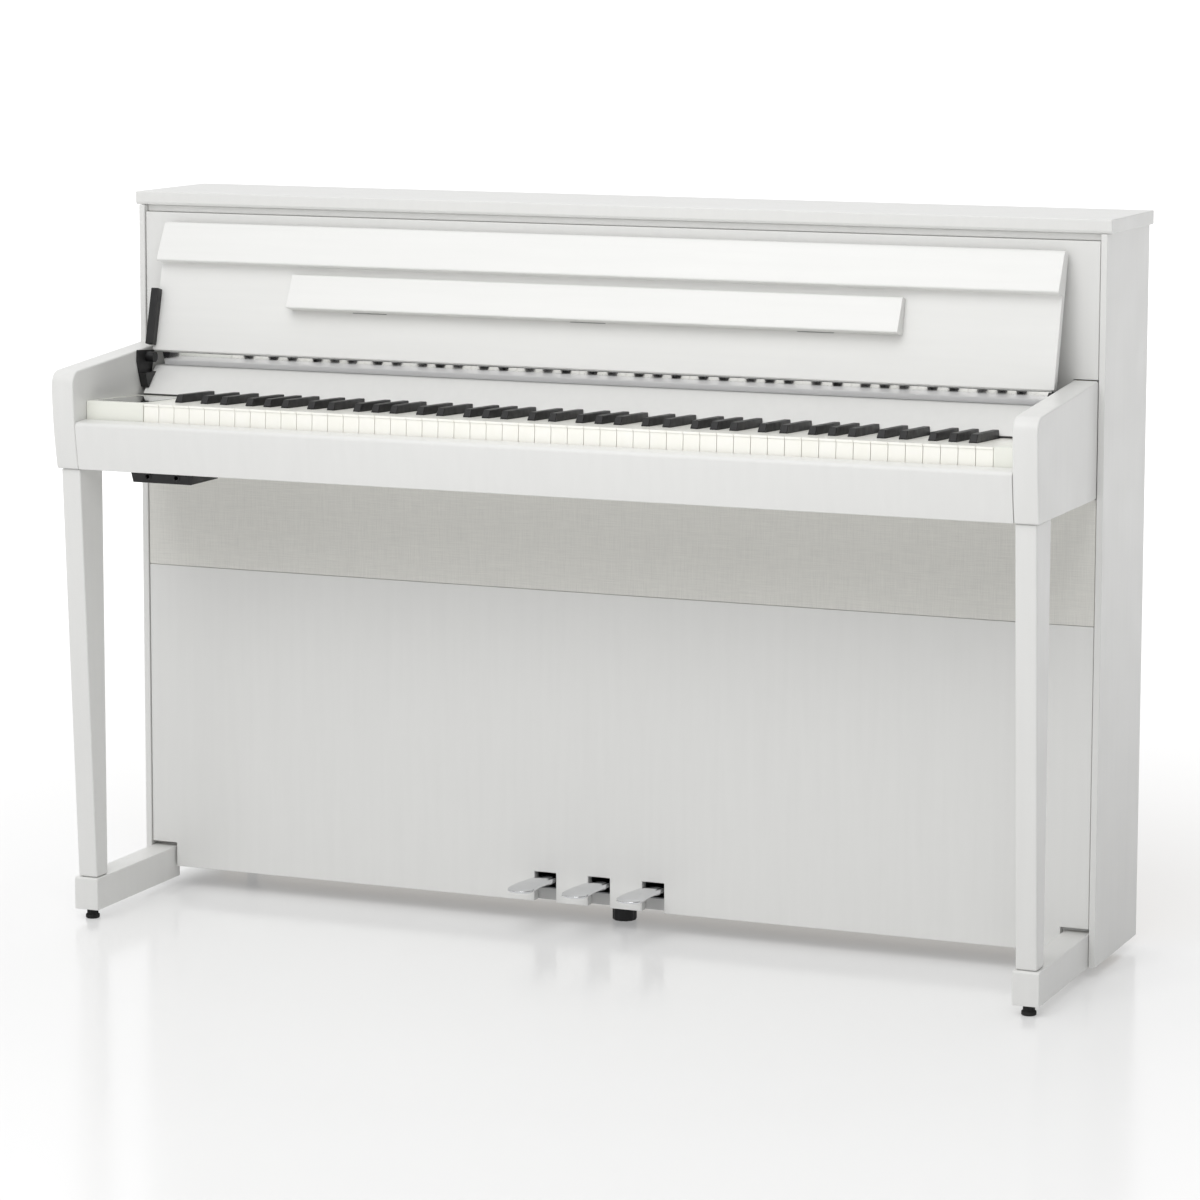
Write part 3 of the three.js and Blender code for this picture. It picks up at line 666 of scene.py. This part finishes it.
def black_key(board, x):
    """A black key: sides that lean in, a sloping front, and a low tail under the rail."""
    front, top = board["black_front"], board["top"] + BLACK_RISE
    bottom = board["top"] - BLACK_DEEP
    tail_top = board["top"] - TAIL_DROP
    visible_back = board["front"] + BLACK_BACK
    profile = [
        (front, bottom),
        (board["back"], bottom),
        (board["back"], tail_top),
        (visible_back, tail_top),
        (visible_back, top),
        (front + BLACK_FRONT_RUN, top),
        (front, board["top"] + BLACK_NOSE),
    ]
    rings = []
    for side in (-0.5, 0.5):
        ring = []
        for y, z in profile:
            width = BLACK_TOP if z > top - MM else BLACK_BASE
            ring.append((x + side * width, y, z))
        rings.append(ring)
    bm = loft(rings)
    soften(bm, BLACK_EDGE)
    return bm


def add_keys():
    """All 88 keys. Those of the middle octave replace a node each, and the others their bank's."""
    board = keyboard()
    places = black_places(board)
    blacks = dict(places)
    banks = {node: [] for node in KEY_BANKS}
    for index in range(WHITE_COUNT):
        step = index - MIDDLE_C
        node = WHITE_NAMES[step] if 0 <= step < WHITES_IN_OCTAVE else None
        body = node or ("white_keys_bass" if step < 0 else "white_keys_treble")
        bm = white_key(board, white_outline(board, index, blacks))
        move(bm, board["tip"])
        name = f"white_key_{index + 1:02d}"
        piece = mesh_piece(name, bm, "white_key", body, [node] if node else [])
        if body in banks:
            banks[body].append(piece)
    middle = 0
    for number, (boundary, x) in enumerate(places):
        node = None
        if MIDDLE_C < boundary < MIDDLE_C + WHITES_IN_OCTAVE:
            node = BLACK_NAMES[middle]
            middle += 1
        body = node or ("black_keys_bass" if boundary <= MIDDLE_C else "black_keys_treble")
        bm = black_key(board, x)
        move(bm, board["tip"])
        name = f"black_key_{number + 1:02d}"
        piece = mesh_piece(name, bm, "black_key", body, [node] if node else [])
        if body in banks:
            banks[body].append(piece)
    for node, pieces in banks.items():
        for piece in pieces:
            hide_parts(node)


# ---- Pedals ----

PEDALS = ["soft_pedal", "sostenuto_pedal", "damper_pedal"]
STEM_HALF = 14 * MM
TIP_ROUND = 16 * MM  # length of the rounded tip
# Heights above the pedal box's low side along a pedal: (y, under, top), all in millimetres.
PEDAL_ARCH = [
    (105, 0, 14),
    (34.8, 1.5, 14.5),
    (8, 5.5, 16.5),
    (-22, 8.8, 17.4),
    (-48, 9.4, 17),
    (-66, 8.6, 14.8),
]
STEM_SECTIONS = (60 * MM, 40 * MM)
FLARE_START = 26  # mm, where the stem starts to widen
ARCH_STEP = 4  # mm between sections from there to near the tip
ARCH_SECTIONS = 19
TIP_SECTIONS = (0.12, 0.3, 0.46, 0.6, 0.72, 0.82, 0.9, 0.96, 0.99)  # shares of the rounded tip
TIP_THINNING = 0.6  # share of the thickness lost at the tip
TIP_HALF = 0.8 * MM
CROWN_DROP = 0.22  # share of the half thickness that the top falls at the sides
PEDAL_POINTS = 28


def pedal_half_width(y, tip, half):
    """Half the pedal's width at y: a narrow stem that flares into a rounded tip."""
    flare_start = FLARE_START * MM
    flare_end = tip + TIP_ROUND
    if y >= flare_start:
        return STEM_HALF
    if y >= flare_end:
        t = (flare_start - y) / (flare_start - flare_end)
        return STEM_HALF + (half - STEM_HALF) * (3 * t * t - 2 * t**3)
    t = (flare_end - y) / TIP_ROUND
    return half * math.sqrt(max(0.0, 1 - t**2.4))


def arch_heights(y):
    """The pedal's underside and top at y, above its lowest point, on straight lines along the arch."""
    y /= MM
    for (y0, under0, top0), (y1, under1, top1) in zip(PEDAL_ARCH, PEDAL_ARCH[1:]):
        if y >= y1:
            t = min(max((y0 - y) / (y0 - y1), 0), 1)
            return (under0 + (under1 - under0) * t) * MM, (top0 + (top1 - top0) * t) * MM
    return PEDAL_ARCH[-1][1] * MM, PEDAL_ARCH[-1][2] * MM


def pedal_ring(x, y, half, bottom, top):
    """A pedal's section: flat below, gently crowned on top, with full round sides."""
    ring = []
    middle = (bottom + top) / 2
    for i in range(PEDAL_POINTS):
        a = 2 * math.pi * i / PEDAL_POINTS
        c = math.cos(a)
        s = math.sin(a)
        across = math.copysign(abs(c) ** 0.45, c)
        up = math.copysign(abs(s) ** 0.6, s)
        crown = 1 if s < 0 else 1 - CROWN_DROP * across * across
        ring.append((x + half * across, y, middle + (top - bottom) / 2 * up * crown))
    return ring


def add_pedals():
    for node in PEDALS:
        low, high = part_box(node)
        x = (low.x + high.x) / 2
        half = (high.x - low.x) / 2
        tip = low.y
        stations = [high.y, *STEM_SECTIONS]
        stations += [(FLARE_START - ARCH_STEP * i) * MM for i in range(ARCH_SECTIONS)]
        stations += [tip + TIP_ROUND * (1 - t) for t in TIP_SECTIONS]
        rings = []
        for y in stations:
            nose = max(0.0, (tip + TIP_ROUND - y) / TIP_ROUND)
            under, over = arch_heights(y)
            bottom, top = low.z + under, low.z + over
            drop = TIP_THINNING * nose**3 * (top - bottom) / 2
            width = max(pedal_half_width(y, tip, half), TIP_HALF)
            rings.append(pedal_ring(x, y, width, bottom + drop, top - drop))
        mesh_piece(f"{node}_cast", loft(rings), "pedal_chrome", BODY_OF[node], [node])


# A felt sheet that paints the shade seen through the pedal notches.
FELT_TOP = 49 * MM  # below the pedals, pressed or not
FELT_MARGIN = 20 * MM  # past the outer pedals' sides
FELT_SLACK = 0.2 * MM  # to the boards in front and behind


def add_shade_felt():
    """A pale felt strip behind the lower board, put there as painted shade: it is what shows through the
    pedal notches under the pedals.
    """
    board_low, board_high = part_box("lower_front_panel")
    box_low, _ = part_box("pedal_box")
    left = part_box(PEDALS[0])[0].x - FELT_MARGIN
    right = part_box(PEDALS[-1])[1].x + FELT_MARGIN
    front = board_high.y + FELT_SLACK
    back = box_low.y - FELT_SLACK
    outline = [(left, front), (right, front), (right, back), (left, back)]
    bm = prism(outline, board_low.z + 0.5 * MM, FELT_TOP)
    soften(bm, 0.2 * MM, 2)
    mesh_piece("notch_shade_felt", bm, "shade_grey_felt", "cabinet")


GRIP_COUNT = 12
GRIP_DEPTH = 0.9 * MM
KNOB_POINTS = 72
KNOB_TOP = 19 * MM
KNOB_EDGE = 1.5 * MM


def add_adjuster():
    """The round adjuster under the pedals, with finger grips round its rim and a thin stem above."""
    low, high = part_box("pedal_adjuster")
    centre = centre_of("pedal_adjuster")
    radius = (high.x - low.x) / 2
    grips = []
    for i in range(KNOB_POINTS):
        a = 2 * math.pi * i / KNOB_POINTS
        reach = radius - GRIP_DEPTH * (0.5 - 0.5 * math.cos(GRIP_COUNT * a))
        grips.append((reach * math.cos(a), reach * math.sin(a)))

    def ring(scale, height):
        return [(centre.x + scale * x, centre.y + scale * y, height) for x, y in grips]

    steps = [
        (0.93, 0),
        (1, KNOB_EDGE),
        (1, KNOB_TOP - KNOB_EDGE),
        (0.93, KNOB_TOP),
        (0.29, KNOB_TOP),
        (0.28, high.z),
    ]
    bm = loft([ring(scale, height) for scale, height in steps])
    node = "pedal_adjuster"
    mesh_piece("pedal_adjuster_knob", bm, "black_plastic", node, [node])


# ---- Small parts ----


def add_feet():
    for node in ("front_left_foot", "front_right_foot", "rear_left_foot", "rear_right_foot"):
        low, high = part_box(node)
        radius = (high.x - low.x) / 2
        profile = [
            (radius * 0.86, 0),
            (radius, 1.2 * MM),
            (radius, 5 * MM),
            (radius * 0.8, 7 * MM),
            (radius * 0.8, high.z),
        ]
        bm = turned(profile)
        centre = centre_of(node)
        move(bm, Matrix.Translation((centre.x, centre.y, 0)))
        mesh_piece(f"{node}_turned", bm, "rubber_foot", "cabinet", [node])


BUTTON_HEIGHT = 5.8 * MM
BUTTON_DISH = 0.8 * MM  # how deep its hollow top goes


def add_power_button():
    """The button leans with the top of its block, which slopes like the keys."""
    low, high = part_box("power_button")
    radius = (high.x - low.x) / 2
    half = BUTTON_HEIGHT / 2
    profile = [
        (radius, -half),
        (radius, half - 0.8 * MM),
        (radius - 0.6 * MM, half),
        (radius - 1.6 * MM, half),
        (radius - 2.4 * MM, half - 0.5 * MM),
        (0.5 * MM, half - BUTTON_DISH),
    ]
    bm = turned(profile, 40)
    move(bm, Matrix.Translation(centre_of("power_button")) @ KEY_TILT)
    mesh_piece("power_button_cap", bm, "black_plastic", "power_button", ["power_button"])


LEDGE_PAD = 52 * MM
LEDGE_PAD_PLACES = (-331 * MM, 0, 331 * MM)
LEDGE_PAD_FRONT = 1 * MM  # in front of the ledge's lowest edge
LEDGE_PAD_BACK = 12 * MM  # and behind it
LEDGE_PAD_UNDER = 0.6 * MM  # how far it stands below that edge
LEDGE_PAD_OVER = 2.4 * MM


def add_ledge_pads():
    """Three soft pads along the music ledge's lower edge."""
    ledge = frame["nodes"]["music_ledge"].data
    low = min((v.co for v in ledge.vertices), key=lambda co: co.z)
    for number, x in enumerate(LEDGE_PAD_PLACES):
        left, right = x - LEDGE_PAD / 2, x + LEDGE_PAD / 2
        front, back = low.y - LEDGE_PAD_FRONT, low.y + LEDGE_PAD_BACK
        outline = [(left, front), (right, front), (right, back), (left, back)]
        bm = prism(outline, low.z - LEDGE_PAD_UNDER, low.z + LEDGE_PAD_OVER)
        soften(bm, 0.5 * MM, 2)
        mesh_piece(f"ledge_pad_{number + 1}", bm, "pad_grey", "music_ledge")


JACK_RADIUS = 3.3 * MM
JACK_PLACES = (-588 * MM, -543 * MM)
JACK_HEIGHT = 640 * MM
JACK_POINTS = 32


def add_jack_rings():
    """A dark ring round each headphone socket."""
    low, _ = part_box("headphone_box")
    for number, x in enumerate(JACK_PLACES):
        bm = bmesh.new()
        sections = [
            (JACK_RADIUS - 0.3 * MM, 2 * MM),
            (JACK_RADIUS - 0.3 * MM, -0.8 * MM),
            (JACK_RADIUS + 0.4 * MM, -1.2 * MM),
            (JACK_RADIUS + 2.2 * MM, -0.9 * MM),
            (JACK_RADIUS + 2.6 * MM, 0.2 * MM),
        ]
        rings = [add_loop(bm, circle(radius, out, JACK_POINTS)) for radius, out in sections]
        for first, second in zip(rings, rings[1:] + rings[:1]):
            bridge(bm, first, second)
        move(bm, Matrix.Translation((x, low.y, JACK_HEIGHT)) @ turn(-90, "X"))
        mesh_piece(f"jack_ring_{number + 1}", bm, "black_plastic", "cabinet")


# A screw head's outline, as (radius, height) above the board.
SCREW_PROFILE = [(3.9 * MM, -1 * MM), (3.9 * MM, 0.3 * MM), (3.2 * MM, 1.1 * MM), (1.6 * MM, 1.6 * MM)]
CROSS_HALF_LONG = 2 * MM
CROSS_HALF_WIDE = 0.45 * MM
CROSS_BOTTOM = 0.4 * MM
CROSS_TOP = 3 * MM  # clear of the head, for the cut
BACK_SCREW_INSET = 14 * MM
BACK_SCREW_COLUMNS = 9
BACK_SCREW_ROWS = 6
BED_SCREW_INSET = 60 * MM
BED_SCREW_DEPTH = 50 * MM
BED_SCREWS = 6


def screw_mesh():
    """A domed screw head with a cross recess, its top facing +Z."""
    bm = turned(SCREW_PROFILE, 24)
    head = bpy.data.meshes.new("screw_head")
    bm.to_mesh(head)
    bm.free()
    holder = bpy.data.objects.new("screw_head", head)
    bpy.context.scene.collection.objects.link(holder)
    cutters = []
    corners = [(x * CROSS_HALF_LONG, y * CROSS_HALF_WIDE) for x, y in SQUARE_SIGNS]
    for degrees in (0, 90):
        arm = prism(corners, CROSS_BOTTOM, CROSS_TOP)
        move(arm, turn(degrees, "Z"))
        mesh = bpy.data.meshes.new("screw_cut")
        bmesh.ops.recalc_face_normals(arm, faces=arm.faces)
        arm.to_mesh(mesh)
        arm.free()
        cutter = bpy.data.objects.new("screw_cut", mesh)
        bpy.context.scene.collection.objects.link(cutter)
        cutters.append(cutter)
        boolean = holder.modifiers.new("cross", "BOOLEAN")
        boolean.operation = "DIFFERENCE"
        boolean.object = cutter
    bpy.context.view_layer.update()
    graph = bpy.context.evaluated_depsgraph_get()
    cut = bpy.data.meshes.new_from_object(holder.evaluated_get(graph))
    for spare in (holder, *cutters):
        bpy.data.objects.remove(spare)
    return cut


def add_screws():
    """Screws round the back panel's edge, and along the key bed's front from below."""
    head = screw_mesh()
    low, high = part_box("back_panel")
    inset = BACK_SCREW_INSET
    places = []
    for i in range(BACK_SCREW_COLUMNS):
        x = low.x + inset + (high.x - low.x - 2 * inset) * i / (BACK_SCREW_COLUMNS - 1)
        places += [(x, high.y, low.z + inset), (x, high.y, high.z - inset)]
    for i in range(1, BACK_SCREW_ROWS - 1):
        z = low.z + inset + (high.z - low.z - 2 * inset) * i / (BACK_SCREW_ROWS - 1)
        places += [(low.x + inset, high.y, z), (high.x - inset, high.y, z)]
    outward = turn(-90, "X")
    screws = [(place, outward) for place in places]
    low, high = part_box("key_bed")
    downward = turn(180, "X")
    for i in range(BED_SCREWS):
        x = low.x + BED_SCREW_INSET + (high.x - low.x - 2 * BED_SCREW_INSET) * i / (BED_SCREWS - 1)
        screws.append(((x, low.y + BED_SCREW_DEPTH, low.z), downward))
    for number, (place, facing) in enumerate(screws):
        mesh = head.copy()
        mesh.transform(Matrix.Translation(place) @ facing)
        place_mesh(f"screw_{number + 1:02d}", mesh, "steel", "cabinet")


def add_floor():
    bm = bmesh.new()
    corners = [(x * FLOOR_HALF, y * FLOOR_HALF, 0) for x, y in SQUARE_SIGNS]
    bm.faces.new(add_loop(bm, corners))
    mesh = bpy.data.meshes.new("floor")
    bm.to_mesh(mesh)
    bm.free()
    mesh.materials.append(MATERIALS["floor"])
    floor = bpy.data.objects.new("floor", mesh)
    bpy.context.scene.collection.objects.link(floor)


MATERIALS = make_materials()
add_camera()
add_world()
add_sun("key_sun", SUN_TOWARD, SUN_STRENGTH, SUN_SPREAD)
add_soft_box("treble_fill", FILL_PLACE, FILL_AIM, FILL_SIZE, FILL_POWER)
add_floor()
add_boards()
add_keys()
add_pedals()
add_shade_felt()
add_adjuster()
add_feet()
add_power_button()
add_ledge_pads()
add_jack_rings()
add_screws()
